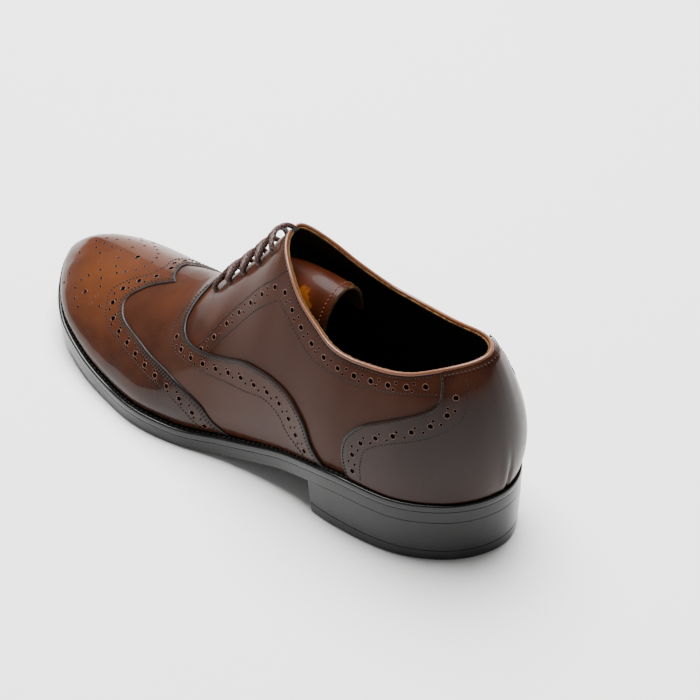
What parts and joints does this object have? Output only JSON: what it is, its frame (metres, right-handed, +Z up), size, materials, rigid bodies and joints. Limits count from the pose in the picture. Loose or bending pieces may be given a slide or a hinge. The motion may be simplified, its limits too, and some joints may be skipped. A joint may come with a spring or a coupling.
{
  "type": "brogue shoe",
  "caption": "Left leather dress shoe: hollow upper open at the collar, winged toe cap, heel counter, laced facings over a tongue, welted sole and stacked heel.",
  "frame": {"origin": "on the floor under the middle of the whole shoe's bounding box", "axes": "+X towards the toe, +Y towards the outer side of the left foot, +Z up"},
  "size_m": [0.293, 0.0972, 0.121],
  "materials": {
    "sole_black": "waxed black edge",
    "welt_black": "waxed black",
    "insole_black": "matt black lining leather",
    "heel_black": "waxed black layers",
    "rubber_black": "satin black rubber",
    "quarter_brown": "polished dark brown",
    "vamp_brown": "polished dark brown",
    "cap_cognac": "polished red-brown with dark burnishing",
    "counter_cognac": "polished red-brown with dark burnishing",
    "binding_tan": "glossy orange-tan bead",
    "tongue_cognac": "glossy red-brown with a raw tan edge",
    "lace_brown": "waxed round braid"
  },
  "bodies": {
    "root": {"outsole": "sole_black", "welt": "welt_black", "insole": "insole_black", "heel": "heel_black", "heel_top_piece": "rubber_black", "upper": "quarter_brown", "vamp": "vamp_brown", "wing_cap": "cap_cognac", "heel_counter": "counter_cognac", "topline_binding": "binding_tan", "tongue": "tongue_cognac", "laces": "lace_brown"}
  },
  "joints": []
}
